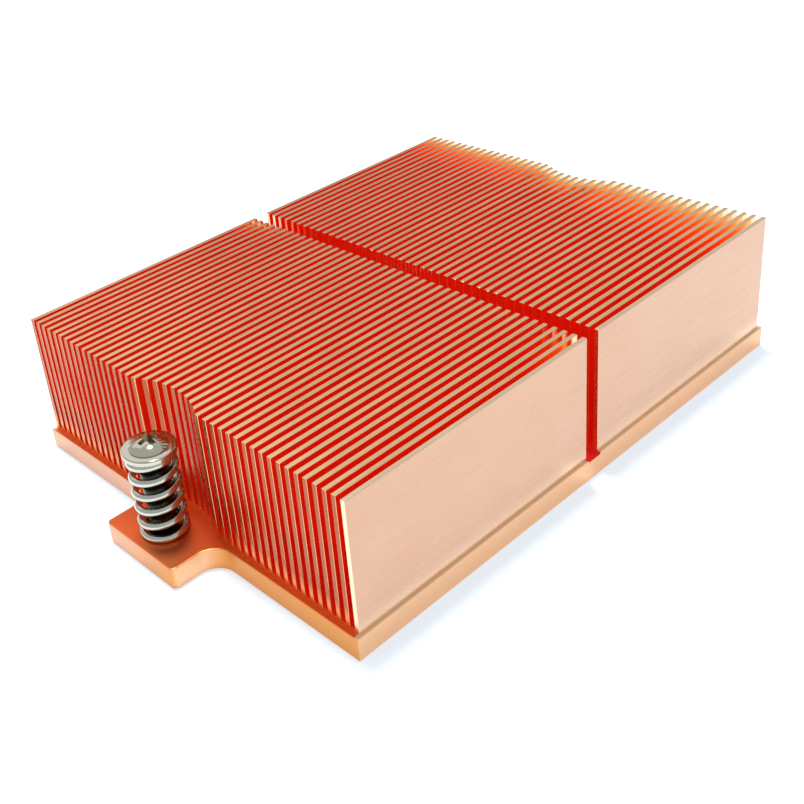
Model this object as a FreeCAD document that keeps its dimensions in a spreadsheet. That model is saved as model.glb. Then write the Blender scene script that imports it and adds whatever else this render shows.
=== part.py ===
# Passive 1U server heatsink: a skived copper block held down by two captive spring screws.
# The origin is at the centre of the flat underside and +Z is up. The fins run along Y, the
# way the air is blown, and the screws stand on the ears at -Y (front) and +Y (rear).
# All lengths are in millimetres.
import FreeCAD, Part
import Sketcher
import math
import os
import re

SIZES = {
    # copper block
    "block_width": 72.8,
    "overall_height": 24.5,
    "base_thickness": 3.6,
    "side_ledge": 0.5,
    "end_ledge": 0.85,
    "pedestal_height": 0.5,
    "fin_count": 44,
    "fin_thickness": 0.75,
    "groove_width": 2.8,
    "groove_offset": 0.5,
    "groove_sink": 0.3,
    "notch_width": 15.0,
    "notch_depth": 2.2,
    # mounting ears
    "screw_spacing": 104.14,
    "fin_setback": 3.7,
    "ear_width": 16.4,
    "ear_margin": 5.0,
    "neck_radius": 3.4,
    "ear_corner_radius": 0.8,
    "web_thickness": 1.3,
    # captive screws
    "shoulder_diameter": 4.0,
    "shoulder_clearance": 0.1,
    "thread_diameter": 3.5,
    "tip_chamfer": 0.4,
    "tip_recess": 0.15,
    "flange_diameter": 8.0,
    "flange_thickness": 0.8,
    "flange_chamfer": 0.3,
    "head_diameter": 5.8,
    "head_rim": 0.15,
    "head_crown": 1.1,
    "recess_span": 3.2,
    "recess_arm": 0.9,
    "recess_depth": 1.2,
    # retaining rings under the ears
    "ring_diameter": 7.0,
    "ring_thickness": 0.6,
    "ring_opening": 2.6,
    "ring_clearance": 0.05,
    "neck_diameter": 3.0,
    "counterbore_clearance": 0.6,
    # compression springs
    "spring_length": 13.8,
    "spring_diameter": 6.35,
    "wire_diameter": 1.15,
    "spring_turns": 5.9,
    "closed_turns": 0.45,
}

# facets of the wire, which is the one surface too curved to keep round
SIDES_PER_TURN = 16
SIDES_PER_WIRE = 8

ENDS = {"front": -1, "rear": 1}

doc = FreeCAD.newDocument("heatsink")
sheet = doc.addObject("Spreadsheet::Sheet", "Sizes")
for row, (alias, value) in enumerate(SIZES.items(), start=1):
    sheet.set(f"A{row}", alias)
    sheet.set(f"B{row}", str(value))
    sheet.setAlias(f"B{row}", alias)
doc.recompute()


def size(alias):
    return float(getattr(sheet, alias))


def in_sheet(formula):
    # Every word of a formula is an alias of the sheet.
    return re.sub("[a-z_]+", lambda word: f"Sizes.{word[0]}", formula)


def origin_feature(body, role):
    return [item for item in body.Origin.OriginFeatures if item.Role == role][0]


def new_body(name):
    body = doc.addObject("PartDesign::Body", name)
    body.Label = name
    return body


def new_sketch(body, role, lift="0"):
    sketch = body.newObject("Sketcher::SketchObject", f"{body.Name}_sketch")
    sketch.AttachmentSupport = [(origin_feature(body, role), "")]
    sketch.MapMode = "FlatFace"
    sketch.setExpression("AttachmentOffset.Base.z", in_sheet(lift))
    return sketch


def dimension(sketch, kind, *geometry_and_formula):
    *geometry, formula = geometry_and_formula
    value = float(sketch.evalExpression(in_sheet(formula)))
    index = sketch.addConstraint(Sketcher.Constraint(kind, *geometry, value))
    sketch.setExpression(f"Constraints[{index}]", in_sheet(formula))


def add_outline(sketch, corners, dome=None, dome_centre=None):
    # A closed outline, each corner placed from the origin by two formulas. Its sides are
    # straight, except that the one numbered dome is an arc about a centre at the given height.
    count = len(corners)
    angles = [2 * math.pi * i / count for i in range(count + 1)]
    loose = [FreeCAD.Vector(math.cos(a), math.sin(a), 0) for a in angles]
    for i in range(count):
        if i == dome:
            sketch.addGeometry(Part.ArcOfCircle(Part.Circle(), angles[i], angles[i + 1]))
        else:
            sketch.addGeometry(Part.LineSegment(loose[i], loose[i + 1]))
    for side, (across, up) in enumerate(corners):
        sketch.addConstraint(Sketcher.Constraint("Coincident", side, 2, (side + 1) % count, 1))
        dimension(sketch, "DistanceX", -1, 1, side, 1, across)
        dimension(sketch, "DistanceY", -1, 1, side, 1, up)
    if dome is not None:
        dimension(sketch, "DistanceY", -1, 1, dome, 3, dome_centre)


def add_rectangle(sketch, width, depth):
    # A rectangle centred on the origin.
    right = f"({width}) / 2"
    back = f"({depth}) / 2"
    left = f"-({width}) / 2"
    front = f"-({depth}) / 2"
    add_outline(sketch, [(left, front), (right, front), (right, back), (left, back)])


def add_circle(sketch, up, diameter):
    # A circle centred on the vertical axis.
    circle = sketch.addGeometry(Part.Circle())
    sketch.addConstraint(Sketcher.Constraint("PointOnObject", circle, 3, -2))
    dimension(sketch, "DistanceY", -1, 1, circle, 3, up)
    dimension(sketch, "Diameter", circle, diameter)


def pad(body, sketch, length):
    feature = body.newObject("PartDesign::Pad", f"{body.Name}_pad")
    feature.Profile = sketch
    feature.setExpression("Length", in_sheet(length))
    doc.recompute()
    return feature


def pocket(body, sketch, length=None, upward=False):
    # A cut to a depth, or through everything both ways when no depth is given.
    before = body.Shape.Volume
    feature = body.newObject("PartDesign::Pocket", f"{body.Name}_pocket")
    feature.Profile = sketch
    if length is None:
        feature.Type = "ThroughAll"
        feature.Midplane = True
    else:
        feature.setExpression("Length", in_sheet(length))
        feature.Reversed = upward
    doc.recompute()
    if body.Shape.Volume >= before:
        raise RuntimeError(f"{feature.Name} cuts nothing")
    return feature


def round_upright_edges(body, base, radius, across, along):
    # Rounds the four upright edges that stand at (+-across, +-along).
    chosen = []
    for number, edge in enumerate(base.Shape.Edges, start=1):
        ends = [vertex.Point for vertex in edge.Vertexes]
        if len(ends) != 2:
            continue
        upright = math.hypot(ends[0].x - ends[1].x, ends[0].y - ends[1].y) < 1e-6
        corner = math.hypot(abs(ends[0].x) - across, abs(ends[0].y) - along) < 1e-6
        if upright and corner:
            chosen.append(f"Edge{number}")
    if len(chosen) != 4:
        raise RuntimeError(f"{len(chosen)} edges to round at {across}, {along}")
    feature = body.newObject("PartDesign::Fillet", f"{body.Name}_fillet")
    feature.Base = (base, chosen)
    feature.setExpression("Radius", in_sheet(radius))
    doc.recompute()
    return feature


def make_finned_base():
    body = new_body("finned_base")
    block_length = "(screw_spacing - 2 * fin_setback)"
    fin_gap = "(block_width - fin_count * fin_thickness) / (fin_count - 1)"
    fin_pitch = "(block_width - fin_thickness) / (fin_count - 1)"
    base_length = f"{block_length} + 2 * end_ledge"

    # base plate with an ear at each end, the necks and corners rounded
    plate = new_sketch(body, "XY_Plane")
    add_rectangle(plate, "block_width + 2 * side_ledge", base_length)
    pad(body, plate, "base_thickness")
    ears = new_sketch(body, "XY_Plane")
    add_rectangle(ears, "ear_width", "screw_spacing + 2 * ear_margin")
    ear_pad = pad(body, ears, "base_thickness")
    half_ear = size("ear_width") / 2
    ear_end = size("screw_spacing") / 2 + size("ear_margin")
    plate_end = size("screw_spacing") / 2 - size("fin_setback") + size("end_ledge")
    necks = round_upright_edges(body, ear_pad, "neck_radius", half_ear, plate_end)
    round_upright_edges(body, necks, "ear_corner_radius", half_ear, ear_end)

    # the solid block that the fins are cut from
    block = new_sketch(body, "XY_Plane")
    add_rectangle(block, "block_width", block_length)
    pad(body, block, "overall_height")

    # one channel beside the first fin, repeated across the block
    channel = new_sketch(body, "XZ_Plane")
    left = "fin_thickness - block_width / 2"
    right = f"{left} + {fin_gap}"
    root = "base_thickness + pedestal_height"
    above = "overall_height + 1"
    add_outline(channel, [(left, root), (right, root), (right, above), (left, above)])
    first_channel = pocket(body, channel)
    pattern = body.newObject("PartDesign::LinearPattern", "channels")
    pattern.Originals = [first_channel]
    pattern.Direction = (origin_feature(body, "X_Axis"), [""])
    pattern.setExpression("Length", in_sheet(f"{fin_pitch} * (fin_count - 2)"))
    pattern.setExpression("Occurrences", in_sheet("fin_count - 1"))
    body.Tip = pattern
    doc.recompute()

    # groove across all the fins, just into the base plate
    groove = new_sketch(body, "YZ_Plane")
    near = "groove_offset - groove_width / 2"
    far = "groove_offset + groove_width / 2"
    floor = "base_thickness - groove_sink"
    add_outline(groove, [(near, floor), (far, floor), (far, above), (near, above)])
    pocket(body, groove)

    # shallow round notch in the fin ends behind each screw, down to the ear
    notch_diameter = "(notch_width ^ 2 / 4 + notch_depth ^ 2) / notch_depth"
    notches = new_sketch(body, "XY_Plane", "base_thickness")
    for side in ENDS.values():
        middle = f"{side} * ({block_length} / 2 - notch_depth + {notch_diameter} / 2)"
        add_circle(notches, middle, notch_diameter)
    pocket(body, notches, "overall_height", upward=True)

    # screw bores, and counterbores from below for the retaining rings
    bores = new_sketch(body, "XY_Plane")
    counterbores = new_sketch(body, "XY_Plane")
    for side in ENDS.values():
        axis = f"{side} * screw_spacing / 2"
        add_circle(bores, axis, "shoulder_diameter + 2 * shoulder_clearance")
        add_circle(counterbores, axis, "ring_diameter + 2 * counterbore_clearance")
    pocket(body, bores)
    pocket(body, counterbores, "base_thickness - web_thickness", upward=True)
    return body


def place(item, side, height):
    # Stands a piece on one of the two screw axes.
    item.setExpression("Placement.Base.y", in_sheet(f"{side} * screw_spacing / 2"))
    item.setExpression("Placement.Base.z", in_sheet(height))
    doc.recompute()


def make_screw(name, side):
    # The screw's own origin is under its flange, where the spring pushes.
    body = new_body(name)
    neck_top = "-web_thickness - spring_length"
    neck_foot = f"{neck_top} - ring_thickness - 2 * ring_clearance"
    tip = "tip_recess - base_thickness - spring_length"
    rim_top = "flange_thickness + head_rim"
    head_top = f"{rim_top} + head_crown"
    crown_radius = "(head_diameter ^ 2 / 4 + head_crown ^ 2) / (2 * head_crown)"
    outline = [
        ("0", tip),
        ("thread_diameter / 2 - tip_chamfer", tip),
        ("thread_diameter / 2", f"{tip} + tip_chamfer"),
        ("thread_diameter / 2", neck_foot),
        ("neck_diameter / 2", neck_foot),
        ("neck_diameter / 2", neck_top),
        ("shoulder_diameter / 2", neck_top),
        ("shoulder_diameter / 2", "0"),
        ("flange_diameter / 2", "0"),
        ("flange_diameter / 2", "flange_thickness - flange_chamfer"),
        ("flange_diameter / 2 - flange_chamfer", "flange_thickness"),
        ("head_diameter / 2", "flange_thickness"),
        ("head_diameter / 2", rim_top),
        ("0", head_top),
    ]
    profile = new_sketch(body, "XZ_Plane")
    add_outline(profile, outline, len(outline) - 2, f"{head_top} - {crown_radius}")
    turned = body.newObject("PartDesign::Revolution", f"{name}_revolution")
    turned.Profile = profile
    turned.ReferenceAxis = (profile, ["V_Axis"])
    doc.recompute()

    # cross recess for the driver
    cross = new_sketch(body, "XY_Plane", head_top)
    arm = "recess_arm / 2"
    span = "recess_span / 2"
    add_outline(cross, [
        (arm, arm), (arm, span), (f"-{arm}", span), (f"-{arm}", arm),
        (f"-{span}", arm), (f"-{span}", f"-{arm}"), (f"-{arm}", f"-{arm}"), (f"-{arm}", f"-{span}"),
        (arm, f"-{span}"), (arm, f"-{arm}"), (span, f"-{arm}"), (span, arm),
    ])
    pocket(body, cross, "recess_depth")
    place(body, side, "base_thickness + spring_length")
    return body


def make_retaining_ring(name, side):
    # A snap ring on the screw's neck, with an opening that lets it be pushed on.
    body = new_body(name)
    disc = new_sketch(body, "XY_Plane")
    add_circle(disc, "0", "ring_diameter")
    add_circle(disc, "0", "neck_diameter + 2 * ring_clearance")
    pad(body, disc, "ring_thickness")
    opening = new_sketch(body, "XY_Plane")
    near = "-ring_opening / 2"
    far = "ring_opening / 2"
    add_outline(opening, [("0", near), ("ring_diameter", near), ("ring_diameter", far), ("0", far)])
    pocket(body, opening)
    place(body, side, "base_thickness - web_thickness - ring_clearance - ring_thickness")
    return body


def make_spring(name, side):
    # Round wire wound right-handed from -X, its first and last stretch lying flat as closed
    # ends. The wire's direction at each ring is taken over a short stretch to either side.
    wire = size("wire_diameter")
    turns = size("spring_turns")
    closed = size("closed_turns")
    active = turns - 2 * closed
    pitch = (size("spring_length") - wire) / active
    stretch = 0.03

    def outward(turn):
        angle = math.pi * (2 * turn + 1)
        return FreeCAD.Vector(math.cos(angle), math.sin(angle), 0)

    def centre(turn):
        height = wire / 2 + pitch * min(max(turn - closed, 0), active)
        return outward(turn) * size("spring_diameter") / 2 + FreeCAD.Vector(0, 0, height)

    rings = []
    count = round(SIDES_PER_TURN * turns)
    for i in range(count + 1):
        turn = turns * i / count
        along = centre(min(turn + stretch, turns)) - centre(max(turn - stretch, 0))
        corners = []
        for j in range(SIDES_PER_WIRE + 1):
            roll = FreeCAD.Rotation(along, 360 * j / SIDES_PER_WIRE)
            corners.append(centre(turn) + roll.multVec(outward(turn) * wire / 2))
        rings.append(Part.makePolygon(corners))
    spring = doc.addObject("Part::Feature", name)
    spring.Label = name
    spring.Shape = Part.makeLoft(rings, True, True)
    place(spring, side, "base_thickness")
    return spring


made = [make_finned_base()]
for end, side in ENDS.items():
    made.append(make_screw(f"{end}_screw", side))
    made.append(make_retaining_ring(f"{end}_retaining_ring", side))
    made.append(make_spring(f"{end}_spring", side))

doc.recompute()
for item in doc.Objects:
    if "Invalid" in item.State or "Error" in item.State:
        raise RuntimeError(f"{item.Name} failed: {item.State}")
for item in made:
    if item.Shape.isNull() or not item.Shape.isValid() or len(item.Shape.Solids) != 1:
        raise RuntimeError(f"{item.Label} is not one valid solid")

os.makedirs("parts", exist_ok=True)
for item in made:
    item.Shape.exportStep(f"parts/{item.Label}.step")
    box = item.Shape.BoundBox
    print(f"{item.Label}: {item.Shape.Volume:.1f} mm3, z {box.ZMin:.2f} to {box.ZMax:.2f}")
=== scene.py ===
import bpy
import bmesh
import math
from mathutils import Matrix, Vector


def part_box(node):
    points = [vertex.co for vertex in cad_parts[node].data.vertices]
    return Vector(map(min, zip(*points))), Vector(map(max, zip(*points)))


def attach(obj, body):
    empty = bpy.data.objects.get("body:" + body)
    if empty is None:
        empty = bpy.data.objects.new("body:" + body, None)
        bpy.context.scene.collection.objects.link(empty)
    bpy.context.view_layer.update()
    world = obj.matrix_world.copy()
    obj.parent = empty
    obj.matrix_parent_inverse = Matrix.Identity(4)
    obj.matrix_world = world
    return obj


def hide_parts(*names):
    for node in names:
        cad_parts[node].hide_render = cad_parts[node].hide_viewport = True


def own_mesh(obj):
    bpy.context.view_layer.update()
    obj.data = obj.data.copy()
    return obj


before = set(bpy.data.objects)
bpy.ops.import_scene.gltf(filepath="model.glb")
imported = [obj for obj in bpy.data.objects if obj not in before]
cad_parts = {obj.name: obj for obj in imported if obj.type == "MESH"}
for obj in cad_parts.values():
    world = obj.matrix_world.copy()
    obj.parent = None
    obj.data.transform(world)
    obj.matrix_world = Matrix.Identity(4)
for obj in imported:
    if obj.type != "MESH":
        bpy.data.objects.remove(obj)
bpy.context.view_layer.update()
mm = 0.001
scene = bpy.context.scene
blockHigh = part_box("finned_base")[1]
ends = {"front": -1, "rear": 1}


# ways of making that the pieces share

def linearColor(code):  # an sRGB hex value as the linear colour that a socket takes
    channels = [int(code[i:i + 2], 16) / 255 for i in (1, 3, 5)]
    return [c / 12.92 if c <= 0.04045 else ((c + 0.055) / 1.055) ** 2.4 for c in channels] + [1]


def addNode(tree, kind, inputs=None, **settings):  # sets and links a new node, and gives its outputs
    node = tree.nodes.new(kind)
    for name, value in settings.items():
        setattr(node, name, value)
    for key, value in (inputs or {}).items():
        if isinstance(value, bpy.types.NodeSocket):
            tree.links.new(value, node.inputs[key])
        else:
            node.inputs[key].default_value = linearColor(value) if isinstance(value, str) else value
    return node.outputs


def newMaterial(name):
    material = bpy.data.materials.new(name)
    material.use_nodes = True
    return material, material.node_tree, material.node_tree.nodes["Principled BSDF"]


def newTree(name, inputs):  # a Geometry Nodes tree with its named inputs and their identifiers
    tree = bpy.data.node_groups.new(name, "GeometryNodeTree")
    tree.interface.new_socket("Geometry", in_out="OUTPUT", socket_type="NodeSocketGeometry")
    identifiers = {}
    for label, kind in inputs.items():
        socket = tree.interface.new_socket(label, in_out="INPUT", socket_type=f"NodeSocket{kind}")
        identifiers[label] = socket.identifier
    return tree, identifiers, addNode(tree, "NodeGroupInput")


def addPiece(name, bm):
    bmesh.ops.recalc_face_normals(bm, faces=bm.faces)
    mesh = bpy.data.meshes.new(name)
    bm.to_mesh(mesh)
    bm.free()
    piece = bpy.data.objects.new(name, mesh)
    scene.collection.objects.link(piece)
    return piece


def bakeModifiers(piece):  # keeps the evaluated shape as a plain mesh
    shape = piece.evaluated_get(bpy.context.evaluated_depsgraph_get())
    mesh = bpy.data.meshes.new_from_object(shape)
    piece.modifiers.clear()
    piece.data = mesh
    mesh.name = piece.name


def runTree(piece, tree, identifiers, values):
    run = piece.modifiers.new(tree.name, "NODES")
    run.node_group = tree
    for label, value in values.items():
        run[identifiers[label]] = value
    bakeModifiers(piece)


def combine(piece, other, operation):  # cuts the other solid away, or joins it on
    boolean = piece.modifiers.new("combine", "BOOLEAN")
    boolean.operation = operation
    boolean.solver = "EXACT"
    boolean.object = other
    bakeModifiers(piece)
    bpy.data.objects.remove(other)


def breakEdges(piece, width, sharp):  # the small round that deburring leaves, on edges past so many degrees
    bevel = piece.modifiers.new("edges", "BEVEL")
    bevel.width = width
    bevel.segments = 2
    bevel.limit_method = "ANGLE"
    bevel.angle_limit = math.radians(sharp)
    bakeModifiers(piece)


def shadeByAngle(piece, sharp):  # smooth, but for edges past so many degrees
    piece.data.polygons.foreach_set("use_smooth", [True] * len(piece.data.polygons))
    piece.data.set_sharp_from_angle(angle=math.radians(sharp))


def raiseOutline(name, outline, low, high):  # a closed outline pulled up into a solid
    bm = bmesh.new()
    face = bm.faces.new([bm.verts.new((x, y, low)) for x, y in outline])
    raised = bmesh.ops.extrude_face_region(bm, geom=[face])
    lifted = [item for item in raised["geom"] if isinstance(item, bmesh.types.BMVert)]
    bmesh.ops.translate(bm, verts=lifted, vec=(0, 0, high - low))
    return addPiece(name, bm)


def turnProfile(name, profile, middle, steps=72):  # (radius, height) pairs from pole to pole
    bm = bmesh.new()
    rings = []
    for radius, height in profile:
        if radius == 0:
            rings.append([bm.verts.new((*middle, height))])
        else:
            turns = [2 * math.pi * i / steps for i in range(steps)]
            rings.append([bm.verts.new((middle[0] + radius * math.cos(a),
                                        middle[1] + radius * math.sin(a), height)) for a in turns])
    for lower, upper in zip(rings, rings[1:]):
        for i in range(steps):
            j = (i + 1) % steps
            corners = [lower[i % len(lower)], lower[j % len(lower)],
                       upper[j % len(upper)], upper[i % len(upper)]]
            bm.faces.new(list(dict.fromkeys(corners)))
    return addPiece(name, bm)


def arcAround(x, y, radius, start, end, steps=10):  # start and end in degrees
    angles = [math.radians(start + (end - start) * i / steps) for i in range(steps + 1)]
    return [(x + radius * math.cos(a), y + radius * math.sin(a)) for a in angles]


def finish(piece, body, material, slotName, *nodes):
    piece.data.materials.clear()
    piece.data.materials.append(material)
    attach(piece, body)
    if nodes:
        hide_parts(*nodes)


# steel

steelLook = {  # each finish is a colour and a roughness
    "nickel": ("#C6C1B0", 0.09), "wire": ("#C2C4B8", 0.14), "phosphate": ("#4A4A4C", 0.45),
    "shadedShank": ("#3A372F", 0.3),    # painted shade: the shank under the flange, darkened for the shade inside the spring
    "unshadedGap": 0.02 * mm,             # between the painted shade and the flange
    "spread": (0.8, 1.4),         # share of the roughness, from the smoothest mark to the dullest
    "mark": 0.12 * mm,            # between turning or drawing marks
    "stretch": (0.2, 0.2, 1),     # draws the marks out sideways
    "relief": (0.15, 0.01 * mm),  # strength and depth of the marks
}


def steelMaterial(name, finishName, shadedBelow=None):
    # Turned or drawn steel, plated or phosphated: its fine marks break up the highlights a little. Under a
    # given height the shank takes painted shade, dark for the shade inside the spring.
    code, roughness = steelLook[finishName]
    least, most = (roughness * share for share in steelLook["spread"])
    strength, depth = steelLook["relief"]
    material, tree, shader = newMaterial(name)
    place = addNode(tree, "ShaderNodeTexCoord")["Object"]
    flat = addNode(tree, "ShaderNodeMapping", {"Vector": place, "Scale": steelLook["stretch"]})[0]
    marks = addNode(tree, "ShaderNodeTexNoise", {
        "Vector": flat, "Scale": 1 / steelLook["mark"], "Detail": 2.0})["Fac"]
    rough = addNode(tree, "ShaderNodeMapRange", {"Value": marks, "To Min": least, "To Max": most})[0]
    relief = addNode(tree, "ShaderNodeBump", {"Height": marks, "Strength": strength, "Distance": depth})[0]
    shader.inputs["Base Color"].default_value = linearColor(code)
    shader.inputs["Metallic"].default_value = 1
    # painted shade: below this height the shank's tone and roughness turn to the dark ones
    if shadedBelow:
        shankShade, shankShadeRoughness = steelLook["shadedShank"]
        height = addNode(tree, "ShaderNodeSeparateXYZ", {0: place})[2]
        shadedShank = addNode(tree, "ShaderNodeMath", {0: height, 1: shadedBelow}, operation="LESS_THAN")[0]
        tone = addNode(tree, "ShaderNodeMix", {0: shadedShank, 6: code, 7: shankShade}, data_type="RGBA")[2]
        tree.links.new(tone, shader.inputs["Base Color"])
        rough = addNode(tree, "ShaderNodeMix", {0: shadedShank, 2: rough, 3: shankShadeRoughness}, data_type="FLOAT")[0]
    tree.links.new(rough, shader.inputs["Roughness"])
    tree.links.new(relief, shader.inputs["Normal"])
    return material


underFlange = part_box("front_spring")[1].z
# the screws' shank under the flange takes painted shade
nickel = steelMaterial("nickelPlatedSteel", "nickel", underFlange - steelLook["unshadedGap"])
wire = steelMaterial("musicWire", "wire")
phosphate = steelMaterial("phosphatedSpringSteel", "phosphate")
print("steel made")


# copper block: plate, ears and pedestal

block = {
    "sideLedge": 0.5 * mm, "endLedge": 0.85 * mm, "plate": 3.6 * mm, "pedestal": 0.5 * mm,
    "setback": 3.7 * mm, "earHalf": 8.2 * mm, "neck": 3.4 * mm, "corner": 0.8 * mm,
    "bore": 2.1 * mm, "counterbore": 4.1 * mm, "web": 1.3 * mm,
    "grooveLow": -0.9 * mm, "grooveHigh": 1.9 * mm, "grooveSink": 0.3 * mm,
    "notchHalf": 7.5 * mm, "notchDepth": 2.2 * mm,
    "edge": 0.16 * mm, "sharp": 35,  # width of a broken edge, and the degrees past which one is broken
    "hair": 0.02 * mm,  # the pedestal stands this far inside the fins' ends and sides
    "past": 5 * mm,     # how far the cutters reach beyond the copper
}
screwY = (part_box("rear_screw")[0].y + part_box("rear_screw")[1].y) / 2
finsHalfLength = screwY - block["setback"]
finsHalfWidth = blockHigh.x - block["sideLedge"]
notchRadius = (block["notchHalf"] ** 2 + block["notchDepth"] ** 2) / (2 * block["notchDepth"])
pedestalTop = block["plate"] + block["pedestal"]


def plateOutline():
    side, end = blockHigh.x, finsHalfLength + block["endLedge"]
    ear, neck, corner = block["earHalf"], block["neck"], block["corner"]
    tip = blockHigh.y - corner
    rear = [(side, end)]
    rear += arcAround(ear + neck, end + neck, neck, 270, 180)
    rear += arcAround(ear - corner, tip, corner, 0, 90, steps=6)
    rear += arcAround(corner - ear, tip, corner, 90, 180, steps=6)
    rear += arcAround(-ear - neck, end + neck, neck, 0, -90)
    rear += [(-side, end)]
    return rear + [(-x, -y) for x, y in rear]


def pedestalOutline(end):  # the half of the pedestal between the groove and one end
    spread = math.degrees(math.asin(block["notchHalf"] / notchRadius))
    hair = block["hair"]
    middle = finsHalfLength - block["notchDepth"] + notchRadius - hair
    notch = arcAround(0, middle, notchRadius, spread - 90, -90 - spread, steps=16)
    inner = (block["grooveHigh"] if end > 0 else -block["grooveLow"]) / 2
    side, far = finsHalfWidth - hair, finsHalfLength - hair
    outline = [(side, inner), (side, far), *notch, (-side, far), (-side, inner)]
    return [(x, y * end) for x, y in outline]


def holeProfile():  # counterbore, web and bore, with their mouths broken as the edges are
    edge, bore, counterbore = block["edge"], block["bore"], block["counterbore"]
    step, top, past = block["plate"] - block["web"], block["plate"], block["past"]
    return [(0, -past), (counterbore + edge, -past), (counterbore + edge, 0), (counterbore, edge),
            (counterbore, step), (bore, step), (bore, top - edge), (bore + edge, top),
            (bore + edge, past), (0, past)]


def makePlate():
    plate = raiseOutline("basePlate", plateOutline(), 0, block["plate"])
    breakEdges(plate, block["edge"], block["sharp"])
    for side in ends.values():
        hole = turnProfile("hole", holeProfile(), (0, side * screwY))
        combine(plate, hole, "DIFFERENCE")
        pedestal = raiseOutline("pedestal", pedestalOutline(side), block["plate"] / 2, pedestalTop)
        combine(plate, pedestal, "UNION")
    reach = blockHigh.x + block["past"]
    low, high = block["grooveLow"] - block["hair"], block["grooveHigh"] + block["hair"]
    outline = [(-reach, low), (reach, low), (reach, high), (-reach, high)]
    floor = block["plate"] - block["grooveSink"]
    combine(plate, raiseOutline("groove", outline, floor, floor + block["past"]), "DIFFERENCE")
    return plate


plate = makePlate()
print("base plate made")


# copper block: fins

fins = {
    "count": 44, "thickness": 0.75 * mm, "edge": 0.07 * mm,
    "root": 0.48 * mm,     # how far a fin reaches down into the pedestal
    "lean": 0.12,          # degrees that the cutting blade leaves a fin off upright, at most
    "seed": 7,
}


def makeOneFin():  # the two lengths of one fin, either side of the groove
    bm = bmesh.new()
    low, high = pedestalTop - fins["root"], blockHigh.z
    for near, far in ((-finsHalfLength, block["grooveLow"]), (block["grooveHigh"], finsHalfLength)):
        size = Vector((fins["thickness"], far - near, high - low))
        place = Matrix.Translation((0, (near + far) / 2, (low + high) / 2))
        bmesh.ops.create_cube(bm, matrix=place @ Matrix.Diagonal((*size, 1)))
    edges = [e for e in bm.edges if max(v.co.z for v in e.verts) > (low + high) / 2]
    bmesh.ops.bevel(bm, geom=edges, offset=fins["edge"], segments=2, profile=0.5, affect="EDGES")
    return addPiece("skivedFins", bm)


def finRowTree():
    tree, identifiers, given = newTree("finRow", {
        "Geometry": "Geometry", "Count": "Int", "Pitch": "Float", "Half Length": "Float",
        "Notch Radius": "Float", "Notch Depth": "Float", "Lean": "Float", "Seed": "Int",
        "Finish": "Material"})
    gaps = addNode(tree, "ShaderNodeMath", {0: given["Count"], 1: 1}, operation="SUBTRACT")[0]
    width = addNode(tree, "ShaderNodeMath", {0: gaps, 1: given["Pitch"]}, operation="MULTIPLY")[0]
    first = addNode(tree, "ShaderNodeMath", {0: width, 1: -0.5}, operation="MULTIPLY")[0]
    start = addNode(tree, "ShaderNodeCombineXYZ", {0: first})[0]
    step = addNode(tree, "ShaderNodeCombineXYZ", {0: given["Pitch"]})[0]
    row = addNode(tree, "GeometryNodeMeshLine", {
        "Count": given["Count"], "Start Location": start, "Offset": step}, mode="OFFSET")[0]
    placed = addNode(tree, "GeometryNodeInstanceOnPoints", {
        "Points": row, "Instance": given["Geometry"]})[0]
    least = addNode(tree, "ShaderNodeMath", {0: given["Lean"], 1: -1}, operation="MULTIPLY")[0]
    lean = addNode(tree, "FunctionNodeRandomValue", {
        2: least, 3: given["Lean"], "Seed": given["Seed"]}, data_type="FLOAT")[1]
    turned = addNode(tree, "ShaderNodeCombineXYZ", {1: lean})[0]
    leaning = addNode(tree, "GeometryNodeRotateInstances", {"Instances": placed, "Rotation": turned})[0]
    solid = addNode(tree, "GeometryNodeRealizeInstances", {"Geometry": leaning})[0]

    # the fins' ends follow the round notch: each moves inwards by as much as the arc is deep there
    position = addNode(tree, "GeometryNodeInputPosition")[0]
    x, y = addNode(tree, "ShaderNodeSeparateXYZ", {0: position})[:2]
    radius, depth = given["Notch Radius"], given["Notch Depth"]
    radiusSquare = addNode(tree, "ShaderNodeMath", {0: radius, 1: radius}, operation="MULTIPLY")[0]
    xSquare = addNode(tree, "ShaderNodeMath", {0: x, 1: x}, operation="MULTIPLY")[0]
    square = addNode(tree, "ShaderNodeMath", {0: radiusSquare, 1: xSquare}, operation="SUBTRACT")[0]
    inside = addNode(tree, "ShaderNodeMath", {0: square, 1: 0}, operation="MAXIMUM")[0]
    arc = addNode(tree, "ShaderNodeMath", {0: inside}, operation="SQRT")[0]
    chord = addNode(tree, "ShaderNodeMath", {0: radius, 1: depth}, operation="SUBTRACT")[0]
    gone = addNode(tree, "ShaderNodeMath", {0: chord, 1: arc}, operation="SUBTRACT")[0]
    inward = addNode(tree, "ShaderNodeMath", {0: gone, 1: 0}, operation="MINIMUM")[0]
    side = addNode(tree, "ShaderNodeMath", {0: y}, operation="SIGN")[0]
    moved = addNode(tree, "ShaderNodeMath", {0: inward, 1: side}, operation="MULTIPLY")[0]
    shift = addNode(tree, "ShaderNodeCombineXYZ", {1: moved})[0]
    reach = addNode(tree, "ShaderNodeMath", {0: y}, operation="ABSOLUTE")[0]
    half = addNode(tree, "ShaderNodeMath", {0: given["Half Length"], 1: 0.5}, operation="MULTIPLY")[0]
    outer = addNode(tree, "ShaderNodeMath", {0: reach, 1: half}, operation="GREATER_THAN")[0]
    fitted = addNode(tree, "GeometryNodeSetPosition", {
        "Geometry": solid, "Selection": outer, "Offset": shift})[0]
    dressed = addNode(tree, "GeometryNodeSetMaterial", {
        "Geometry": fitted, "Material": given["Finish"]})[0]
    addNode(tree, "NodeGroupOutput", {0: dressed})
    return tree, identifiers


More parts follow.
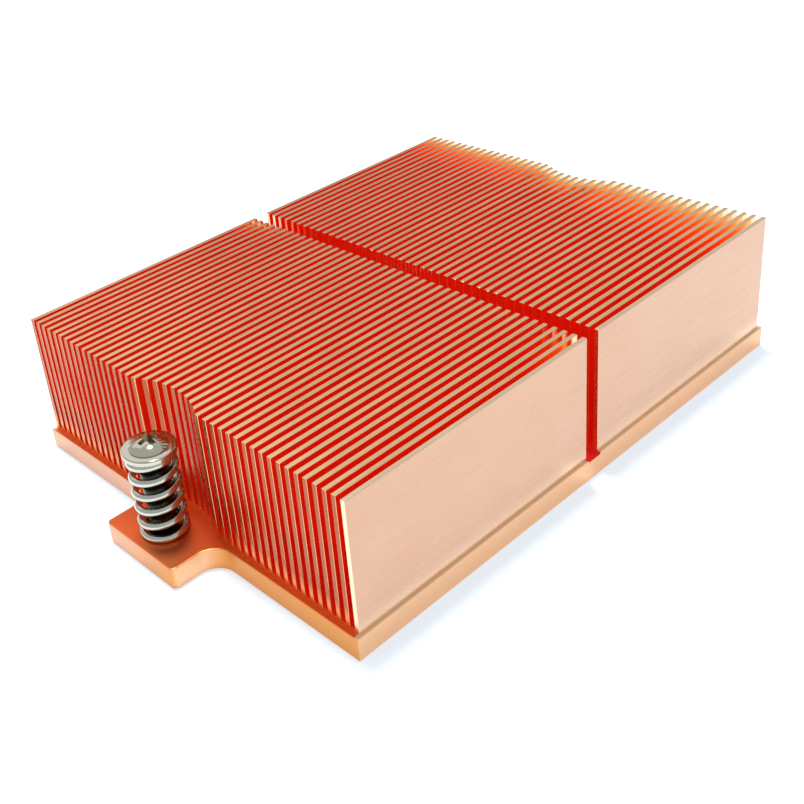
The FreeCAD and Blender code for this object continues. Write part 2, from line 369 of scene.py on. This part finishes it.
copperLook = {
    "milled": "#D0A88F", "handled": "#CA9D80",  # the outer walls, clean and where hands have been
    "patch": 9.0 * mm,            # across a patch of handling
    "paintedFootLight": "#FFD6B6",        # painted light: the foot of the two outer walls, brightened against the shade that it mirrors from the ledge and floor
    "wallFootHeight": 4.5 * mm, "wallFootFade": 3,  # a power, by which it fades upwards
    # painted light: the rim, a rougher finish, takes a lighter tone for the floor's shade that it mirrors;
    # the ledge, the plate's top, is paler still, to lift the dark line that it mirrors at the fins' foot
    "rim": "#EEBB91", "ledge": "#FFE6C4", "earTop": "#F7854C",
    "sawn": "#DA924C", "sawnFar": "#DEAC90",    # ends of the base, right and left of the ears; the change from one to the other is painted light
    # painted shade: the fin tops are darker on the left and lighter on the right
    "finTop": "#FFD8A6", "finTopShaded": "#C68A66",
    "shadeByPlace": 0.6,               # share of a fin top's tone that is painted shade, going from darker on the left to lighter on the right, not by patches
    "finEnd": "#AA5A3C", "litFinFoot": "#FF9A5E",
    "footHeight": 3.0 * mm,       # over which the ends of the fins brighten towards the base, as painted light
    "outerEdgeHighlight": "#F4D8B4",       # painted highlight: a cream tone on the ends and top of the last fin on the right
    "skived": "#FFC694",          # fresh walls of the gaps, which redden as they mirror each other
    # painted reflection: the groove's floor takes a deep red, for the red that the skived walls mirror onto
    # it
    "groove": "#FFB494", "paintedGrooveRed": "#FF4A40",
    "roughness": (0.20, 0.34), "skivedRoughness": 0.16, "rimRoughness": 0.42, "earRoughness": 0.40,
    "drawn": 0.35 * mm,           # between tool marks, drawn coarser than the real 0.05 to show
    "stretch": (1, 0.03, 1),      # draws the marks out along the fins
    "contrast": (0.3, 0.7),       # part of the noise that goes from the smoothest mark to the dullest
    "relief": (0.09, 0.02 * mm),  # strength and depth of the marks
    "squarely": 0.7,              # how far a face has to point a way to count as facing it
    "endOn": (0.25, 0.95),        # and to take the sawn tone, from a first trace to all of it
    "margin": 0.1 * mm,           # kept between a finish's limit and the edge beside it
}


def copperMaterial():
    # Bare C1100 copper: milled outside, and skived to a mirror in the gaps, which turns them deep red.
    look, margin, squarely = copperLook, copperLook["margin"], copperLook["squarely"]
    material, tree, shader = newMaterial("skivedCopper")
    coordinates = addNode(tree, "ShaderNodeTexCoord")
    place = coordinates["Object"]
    axes = addNode(tree, "ShaderNodeSeparateXYZ", {0: place})
    x, z = axes[0], axes[2]
    grooveMiddle = (block["grooveLow"] + block["grooveHigh"]) / 2
    fromGroove = addNode(tree, "ShaderNodeVectorMath", {
        0: place, 1: (0, grooveMiddle, 0)}, operation="SUBTRACT")[0]
    distances = []
    for vector in (place, fromGroove, coordinates["Normal"]):
        size = addNode(tree, "ShaderNodeVectorMath", {0: vector}, operation="ABSOLUTE")[0]
        distances.append(addNode(tree, "ShaderNodeSeparateXYZ", {0: size}))
    offMiddle, offGroove, facing = distances

    limits = {  # each is 1 on one side of its limit and 0 on the other
        "across": (facing[0], "GREATER_THAN", squarely),
        "offAcross": (facing[0], "LESS_THAN", squarely),
        "upward": (facing[2], "GREATER_THAN", squarely),
        "raised": (z, "GREATER_THAN", block["plate"] + margin / 2),
        "below": (z, "LESS_THAN", block["plate"] + margin / 2),
        "topHalf": (z, "GREATER_THAN", block["plate"] / 2),
        "underTop": (z, "LESS_THAN", blockHigh.z - margin),
        "within": (offMiddle[0], "LESS_THAN", finsHalfWidth - margin * 3),
        "onEar": (offMiddle[0], "LESS_THAN", block["earHalf"] + block["neck"] / 2),
        "pastNotch": (offMiddle[1], "GREATER_THAN", finsHalfLength - block["notchDepth"]),
        "inGroove": (offGroove[1], "LESS_THAN", block["grooveHigh"] - grooveMiddle + margin * 2),
        "lastFin": (x, "GREATER_THAN", finsHalfWidth - fins["thickness"] - margin),
    }
    slopes = {  # each rises from 0 at its first place to 1 at its second
        "rightward": (x, -finsHalfWidth, finsHalfWidth),
        # painted light: the ends' tone changes across the ear
        "besideEar": (x, -block["earHalf"], block["earHalf"]),
        # painted light: the fins' ends brighten towards the base
        "aboveFoot": (z, pedestalTop, pedestalTop + look["footHeight"]),
        "nearLedge": (z, block["plate"] + look["wallFootHeight"], block["plate"]),
        "endOn": (facing[1], *look["endOn"]),
    }
    where = {}
    for name, (value, operation, limit) in limits.items():
        where[name] = addNode(tree, "ShaderNodeMath", {0: value, 1: limit}, operation=operation)[0]
    for name, (value, first, second) in slopes.items():
        where[name] = addNode(tree, "ShaderNodeMapRange", {
            "Value": value, "From Min": first, "From Max": second})[0]
    where["foot"] = addNode(tree, "ShaderNodeMath", {
        0: where["nearLedge"], 1: look["wallFootFade"]}, operation="POWER")[0]

    patches = addNode(tree, "ShaderNodeTexNoise", {
        "Vector": place, "Scale": 1 / look["patch"], "Detail": 4.0})["Fac"]
    # fin tops: handling patches, mixed with painted shade from left to right
    handlingAndShade = addNode(tree, "ShaderNodeMix", {
        0: look["shadeByPlace"], 2: patches, 3: where["rightward"]}, data_type="FLOAT")[0]
    pairs = ((patches, "milled", "handled"), (where["besideEar"], "sawnFar", "sawn"),
             (where["aboveFoot"], "litFinFoot", "finEnd"), (handlingAndShade, "finTopShaded", "finTop"))
    walls, sawn, finEnds, finTops = (
        addNode(tree, "ShaderNodeMix", {0: share, 6: look[first], 7: look[second]}, data_type="RGBA")[2]
        for share, first, second in pairs)

    bright, dull = look["roughness"]
    least, most = look["contrast"]
    strength, depth = look["relief"]
    along = addNode(tree, "ShaderNodeMapping", {"Vector": place, "Scale": look["stretch"]})[0]
    marks = addNode(tree, "ShaderNodeTexNoise", {
        "Vector": along, "Scale": 1 / look["drawn"], "Detail": 3.0})["Fac"]
    milled = addNode(tree, "ShaderNodeMapRange", {
        "Value": marks, "From Min": least, "From Max": most, "To Min": bright, "To Max": dull})[0]
    relief = addNode(tree, "ShaderNodeBump", {"Height": marks, "Strength": strength, "Distance": depth})[0]

    tone, rough = walls, milled
    layers = {  # tone, roughness if it changes, and what has to meet there; each lies over the last
        # painted light at the foot of the outer walls
        "paintedFootLight": (look["paintedFootLight"], None, "across", "foot"),
        # painted light: the rim and the ledge are lighter than the walls
        "rim": (look["rim"], look["rimRoughness"], "below"),
        "ledge": (look["ledge"], None, "below", "topHalf", "upward"),
        "sawnEnds": (sawn, None, "below", "endOn"),
        "endTop": (look["earTop"], None, "ledge", "within", "pastNotch"),
        "earTop": (look["earTop"], look["earRoughness"], "endTop", "onEar"),
        "finEdges": (finEnds, None, "raised", "offAcross"),
        "finTops": (finTops, None, "finEdges", "upward"),
        "gapWalls": (look["skived"], look["skivedRoughness"], "raised", "across", "within"),
        "grooveFoot": (look["groove"], None, "below", "topHalf", "offAcross", "inGroove"),
        "grooveWalls": (look["groove"], look["skivedRoughness"], "finEdges", "underTop", "inGroove"),
        # painted reflection on the groove's floor
        "paintedGrooveRed": (look["paintedGrooveRed"], None, "ledge", "inGroove"),
        # painted highlight on the last fin
        "outerEdgeHighlight": (look["outerEdgeHighlight"], milled, "finEdges", "lastFin"),
    }
    for name, (laidTone, laidRough, first, *others) in layers.items():
        share = where[first]
        for other in others:
            share = addNode(tree, "ShaderNodeMath", {0: share, 1: where[other]}, operation="MULTIPLY")[0]
        tone = addNode(tree, "ShaderNodeMix", {0: share, 6: tone, 7: laidTone}, data_type="RGBA")[2]
        if laidRough is not None:
            rough = addNode(tree, "ShaderNodeMix", {0: share, 2: rough, 3: laidRough}, data_type="FLOAT")[0]
        where[name] = share
    tree.links.new(tone, shader.inputs["Base Color"])
    tree.links.new(rough, shader.inputs["Roughness"])
    tree.links.new(relief, shader.inputs["Normal"])
    shader.inputs["Metallic"].default_value = 1
    return material


copper = copperMaterial()
print("copper made")


def makeFins():
    piece = makeOneFin()
    runTree(piece, *finRowTree(), {
        "Count": fins["count"], "Pitch": (2 * finsHalfWidth - fins["thickness"]) / (fins["count"] - 1),
        "Half Length": finsHalfLength, "Notch Radius": notchRadius, "Notch Depth": block["notchDepth"],
        "Lean": math.radians(fins["lean"]), "Seed": fins["seed"], "Finish": copper})
    return piece


skivedFins = makeFins()
print("fins made:", len(skivedFins.data.polygons), "faces")


# captive screws

screw = {
    "head": 2.9 * mm, "rim": 0.15 * mm, "crown": 1.1 * mm,
    "flange": 4.0 * mm, "flangeHeight": 0.8 * mm, "flangeRound": 0.3 * mm, "chamfer": 0.1 * mm,
    "shoulder": 2.0 * mm, "neck": 1.5 * mm, "neckLow": 1.6 * mm, "neckHigh": 2.3 * mm,
    "thread": 1.75 * mm, "core": 1.45 * mm, "lead": 0.6 * mm, "point": 0.35 * mm,
    "runOut": 0.05 * mm,  # bare core at each end of the thread
    "steps": 36, "sides": 3,              # of the thread's ridge, in a turn and round it
    "arm": 0.45 * mm, "span": 1.6 * mm, "recess": 1.3 * mm,  # half width, half length and depth of the cross
    "above": 0.3 * mm,                    # where its cutter starts over the head
    "crossTop": 1.08, "crossFoot": 0.55,  # size of the cutter at its two ends
    "sharp": 30,                          # degrees past which an edge isn't shaded smooth
}


def screwProfile(low, under):
    flangeTop = under + screw["flangeHeight"]
    rimTop = flangeTop + screw["rim"]
    edge, head, crown = screw["flangeRound"], screw["head"], screw["crown"]
    dome = (head ** 2 + crown ** 2) / (2 * crown)
    start = math.degrees(math.asin((dome - crown) / dome))
    profile = [(0, low), (screw["core"] - screw["point"], low), (screw["core"], low + screw["point"]),
               (screw["core"], screw["neckLow"]), (screw["neck"], screw["neckLow"]),
               (screw["neck"], screw["neckHigh"]), (screw["shoulder"], screw["neckHigh"]),
               (screw["shoulder"], under), (screw["flange"] - screw["chamfer"], under),
               (screw["flange"], under + screw["chamfer"])]
    profile += arcAround(screw["flange"] - edge, flangeTop - edge, edge, 0, 90, steps=6)
    profile += [(head, flangeTop)]
    profile += arcAround(0, rimTop + crown - dome, dome, start, 90, steps=16)[:-1]
    return profile + [(0, rimTop + crown)]


def crossCutter(middle, top):  # tapers downwards, as a driver's bit does
    bm = bmesh.new()
    rings = []
    for height, share in ((top + screw["above"], screw["crossTop"]),
                          (top - screw["recess"], screw["crossFoot"])):
        arm, span = screw["arm"] * (share + 1) / 2, screw["span"] * share  # arms narrow half as fast
        quarter = [(arm, arm), (arm, span), (-arm, span)]
        ring = []
        for turn in range(4):
            spin = Matrix.Rotation(math.pi / 2 * turn, 2)
            ring += [spin @ Vector(corner) for corner in quarter]
        rings.append([bm.verts.new((middle[0] + p.x, middle[1] + p.y, height)) for p in ring])
    for lower, upper in zip(rings, rings[1:]):
        for i in range(len(lower)):
            j = (i + 1) % len(lower)
            bm.faces.new((lower[i], lower[j], upper[j], upper[i]))
    bm.faces.new(rings[0])
    bm.faces.new(rings[1])
    return addPiece("cross", bm)


def coilTree():  # wire along a coil whose first and last stretch lie flat
    tree, identifiers, given = newTree("coil", {
        "Turns": "Float", "Flat Turns": "Float", "Radius": "Float", "Wire": "Float", "Height": "Float",
        "Foot": "Vector", "Steps": "Int", "Sides": "Int", "Finish": "Material"})
    turns, flat = given["Turns"], given["Flat Turns"]
    count = addNode(tree, "ShaderNodeMath", {
        0: turns, 1: given["Steps"], 2: 1}, operation="MULTIPLY_ADD")[0]
    line = addNode(tree, "GeometryNodeMeshLine", {"Count": count}, mode="OFFSET")[0]
    index = addNode(tree, "GeometryNodeInputIndex")[0]
    turn = addNode(tree, "ShaderNodeMath", {0: index, 1: given["Steps"]}, operation="DIVIDE")[0]
    angle = addNode(tree, "ShaderNodeMath", {
        0: turn, 1: 2 * math.pi, 2: math.pi}, operation="MULTIPLY_ADD")[0]
    last = addNode(tree, "ShaderNodeMath", {0: turns, 1: flat}, operation="SUBTRACT")[0]
    climb = addNode(tree, "ShaderNodeMapRange", {
        "Value": turn, "From Min": flat, "From Max": last, "To Max": given["Height"]})[0]
    arm = addNode(tree, "ShaderNodeCombineXYZ", {0: given["Radius"], 2: climb})[0]
    swung = addNode(tree, "ShaderNodeVectorRotate", {
        "Vector": arm, "Angle": angle}, rotation_type="Z_AXIS")[0]
    place = addNode(tree, "ShaderNodeVectorMath", {0: swung, 1: given["Foot"]}, operation="ADD")[0]
    wound = addNode(tree, "GeometryNodeSetPosition", {"Geometry": line, "Position": place})[0]
    path = addNode(tree, "GeometryNodeMeshToCurve", {0: wound})[0]
    section = addNode(tree, "GeometryNodeCurvePrimitiveCircle", {
        "Resolution": given["Sides"], "Radius": given["Wire"]})[0]
    solid = addNode(tree, "GeometryNodeCurveToMesh", {
        "Curve": path, "Profile Curve": section, "Fill Caps": True})[0]
    real = addNode(tree, "GeometryNodeRealizeInstances", {"Geometry": solid})[0]
    dressed = addNode(tree, "GeometryNodeSetMaterial", {
        "Geometry": real, "Material": given["Finish"]})[0]
    addNode(tree, "NodeGroupOutput", {0: dressed})
    return tree, identifiers


coil = coilTree()


def windCoil(name, sizes):
    piece = bpy.data.objects.new(name, bpy.data.meshes.new(name))
    scene.collection.objects.link(piece)
    runTree(piece, *coil, sizes)
    return piece


def makeScrew(end, side):
    low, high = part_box(f"{end}_screw")
    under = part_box(f"{end}_spring")[1].z
    middle = (0, side * screwY)
    piece = turnProfile(f"{end}CaptiveScrew", screwProfile(low.z, under), middle)
    combine(piece, crossCutter(middle, high.z), "DIFFERENCE")
    shadeByAngle(piece, screw["sharp"])
    foot = low.z + screw["point"] + screw["runOut"]
    length = screw["neckLow"] - screw["runOut"] - foot
    ridge = screw["thread"] - screw["core"]
    thread = windCoil(f"{end}Thread", {
        "Turns": length / screw["lead"], "Flat Turns": 0.0, "Height": length, "Foot": (*middle, foot),
        "Radius": screw["core"] + ridge / 3, "Wire": ridge * 2 / 3,  # its foot sinks into the core
        "Steps": screw["steps"], "Sides": screw["sides"], "Finish": nickel})
    finish(piece, f"{end}_screw", nickel, "plated_screw", f"{end}_screw")
    finish(thread, f"{end}_screw", nickel, "plated_screw")


for end, side in ends.items():
    makeScrew(end, side)
print("screws made")


# compression springs and retaining rings

spring = {
    "radius": 3.175 * mm, "wire": 0.575 * mm, "turns": 5.9, "flatTurns": 0.45, "travel": 4.5 * mm,
    "steps": 40, "sides": 16,  # of the wire, in a turn and round it
    "sharp": 40,               # degrees past which an edge isn't shaded smooth
}


def makeSpring(end, side):
    low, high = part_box(f"{end}_spring")
    piece = windCoil(f"{end}CoilSpring", {
        "Turns": spring["turns"], "Flat Turns": spring["flatTurns"], "Radius": spring["radius"],
        "Wire": spring["wire"], "Height": high.z - low.z - 2 * spring["wire"],
        "Foot": (0, side * screwY, low.z + spring["wire"]),
        "Steps": spring["steps"], "Sides": spring["sides"], "Finish": wire})
    shadeByAngle(piece, spring["sharp"])
    finish(piece, "base", wire, "spring_steel", f"{end}_spring")
    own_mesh(piece)


for end, side in ends.items():
    makeSpring(end, side)
    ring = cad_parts[f"{end}_retaining_ring"]
    ring.data.materials.clear()
    ring.data.materials.append(phosphate)
print("springs made")

finish(plate, "base", copper, "copper", "finned_base")
finish(skivedFins, "base", copper, "copper", "finned_base")


# floor, light and camera

studio = {
    "floor": "#E9F2F8", "floorSize": 3.0, "mirroredGlow": 0.62,  # the glow is what metal mirrors
    "seenFloor": "#DDEEFC", "floorGlow": 0.50,  # what the camera sees, a cool white in the shadow
    "floorLift": 0.005 * mm,  # keeps the floor off the underside, which lies at zero
    "near": 0.2, "far": 0.8,  # metres over which the floor turns into plain white
    "sky": "#F3F5F8", "skyLevel": 0.68, "seenSky": "#FFFFFF",
}


def makeFloor():  # pale from above, and clear from below so that the underside can be seen
    bm = bmesh.new()
    lift = Matrix.Translation((0, 0, studio["floorLift"]))
    bmesh.ops.create_grid(bm, x_segments=1, y_segments=1, size=studio["floorSize"], matrix=lift)
    floor = addPiece("floor", bm)
    if floor.data.polygons[0].normal.z < 0:  # so that it lies face up
        floor.data.flip_normals()
    material, tree, shader = newMaterial("paperFloor")
    tree.nodes.remove(shader)
    rays = addNode(tree, "ShaderNodeLightPath")
    place = addNode(tree, "ShaderNodeTexCoord")["Object"]
    away = addNode(tree, "ShaderNodeVectorMath", {0: place}, operation="LENGTH")["Value"]
    level = addNode(tree, "ShaderNodeMapRange", {
        "Value": away, "From Min": studio["near"], "From Max": studio["far"],
        "To Min": studio["floorGlow"], "To Max": 1.0})[0]
    seen = addNode(tree, "ShaderNodeMath", {0: rays["Is Camera Ray"], 1: level}, operation="MULTIPLY")[0]
    glow = addNode(tree, "ShaderNodeMath", {
        0: rays["Is Glossy Ray"], 1: studio["mirroredGlow"], 2: seen}, operation="MULTIPLY_ADD")[0]
    tone = addNode(tree, "ShaderNodeMix", {
        0: rays["Is Camera Ray"], 6: studio["floor"], 7: studio["seenFloor"]}, data_type="RGBA")[2]
    lit = addNode(tree, "ShaderNodeBsdfDiffuse", {"Color": studio["floor"]})[0]
    bright = addNode(tree, "ShaderNodeEmission", {"Color": tone, "Strength": glow})[0]
    paper = addNode(tree, "ShaderNodeAddShader", {0: lit, 1: bright})[0]
    fromBelow = addNode(tree, "ShaderNodeNewGeometry")["Backfacing"]
    clear = addNode(tree, "ShaderNodeBsdfTransparent")[0]
    sided = addNode(tree, "ShaderNodeMixShader", {0: fromBelow, 1: paper, 2: clear})[0]
    tree.links.new(sided, tree.nodes["Material Output"].inputs["Surface"])
    floor.data.materials.append(material)


def makeSky():
    world = bpy.data.worlds.new("studio")
    world.use_nodes = True
    scene.world = world
    tree = world.node_tree
    seen = addNode(tree, "ShaderNodeLightPath")["Is Camera Ray"]
    level = addNode(tree, "ShaderNodeMapRange", {
        "Value": seen, "To Min": studio["skyLevel"], "To Max": 1.0})[0]
    tone = addNode(tree, "ShaderNodeMix", {
        0: seen, 6: studio["sky"], 7: studio["seenSky"]}, data_type="RGBA")[2]
    sky = tree.nodes["Background"]
    tree.links.new(tone, sky.inputs["Color"])
    tree.links.new(level, sky.inputs["Strength"])


softboxes = {  # watts, size in metres, and where each stands, looking at the block's middle
    "keyBox": (0.35, 0.5, (-0.45, 0.05, 0.45)),
    "topBox": (2.5, 0.10, (-0.075, 0.02, 0.66)),
}


def makeLights():
    middle = Vector((0, 0, blockHigh.z / 2))
    for name, (power, size, spot) in softboxes.items():
        lamp = bpy.data.lights.new(name, "AREA")
        lamp.energy = power
        lamp.size = size
        holder = bpy.data.objects.new(name, lamp)
        scene.collection.objects.link(holder)
        holder.location = spot
        holder.rotation_mode = "QUATERNION"
        holder.rotation_quaternion = (middle - Vector(spot)).to_track_quat("-Z", "Y")


view = {
    "azimuth": 51.01, "elevation": 27.49, "roll": -6.97, "distance": 190.4 * mm,
    "across": -17.45 * mm, "up": 6.0 * mm, "lens": 50.93, "sensor": 36,
    "shift": (0.1231, -0.1303), "nearest": 5 * mm, "farthest": 20,
}


def makeCamera():
    turn, lift, roll = (math.radians(view[key]) for key in ("azimuth", "elevation", "roll"))
    back = Vector((math.sin(turn) * math.cos(lift), -math.cos(turn) * math.cos(lift), math.sin(lift)))
    level = Vector((0, 0, 1)).cross(back).normalized()
    upright = back.cross(level)
    right = math.cos(roll) * level + math.sin(roll) * upright
    up = -math.sin(roll) * level + math.cos(roll) * upright
    middle = Vector((0, 0, blockHigh.z / 2))
    place = middle + back * view["distance"] + right * view["across"] + up * view["up"]
    camera = bpy.data.objects.new("camera", bpy.data.cameras.new("camera"))
    scene.collection.objects.link(camera)
    camera.matrix_world = Matrix.Translation(place) @ Matrix((right, up, back)).transposed().to_4x4()
    camera.data.lens = view["lens"]
    camera.data.sensor_width = view["sensor"]
    camera.data.shift_x, camera.data.shift_y = view["shift"]
    camera.data.clip_start = view["nearest"]
    camera.data.clip_end = view["farthest"]
    scene.camera = camera


bounces = {
    "most": 16, "traced": 9,  # the deep gaps take their red from many reflections
    "rest": 1.45,             # strength of the even light that stands for those after the traced ones
    "shaded": 0.4 * mm,       # how near a wall has to be to shade that light
}


def setBounces():
    scene.cycles.max_bounces = bounces["most"]
    scene.cycles.glossy_bounces = bounces["most"]
    scene.cycles.use_fast_gi = True
    scene.cycles.fast_gi_method = "REPLACE"
    scene.cycles.ao_bounces_render = bounces["traced"]
    scene.world.light_settings.distance = bounces["shaded"]
    scene.world.light_settings.ao_factor = bounces["rest"]


makeFloor()
makeSky()
makeLights()
makeCamera()
setBounces()
scene.view_settings.view_transform = "Standard"
print("stage made")
